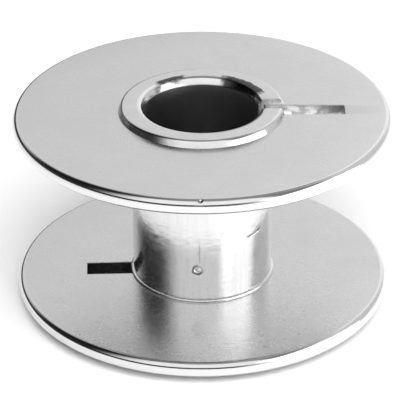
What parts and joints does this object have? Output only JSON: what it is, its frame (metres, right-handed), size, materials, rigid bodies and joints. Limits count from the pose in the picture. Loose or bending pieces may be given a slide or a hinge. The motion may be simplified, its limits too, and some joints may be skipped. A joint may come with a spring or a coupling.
{
  "type": "sewing machine bobbin",
  "caption": "Metal sewing-machine bobbin: thin round flanges with radial slots on a hollow hub, with a raised ring round the bore at each end.",
  "frame": {"origin": "on the bore's axis at the underside of the lower end ring, the plane that the bobbin stands on", "axes": "+Z along the bore, from the lower flange to the upper one; +X along the upper flange's slot"},
  "size_m": [0.0204, 0.0204, 0.0114],
  "materials": {
    "flange_steel": "satin nickel-plated steel with a polished rim",
    "barrel_steel": "bright drawn tube with fine turning lines and light handling marks",
    "sleeve_steel": "satin ring with polished edges and a dull bore"
  },
  "bodies": {
    "root": {"upper_flange": "flange_steel", "lower_flange": "flange_steel", "core_barrel": "barrel_steel", "bore_sleeve": "sleeve_steel"}
  },
  "joints": []
}
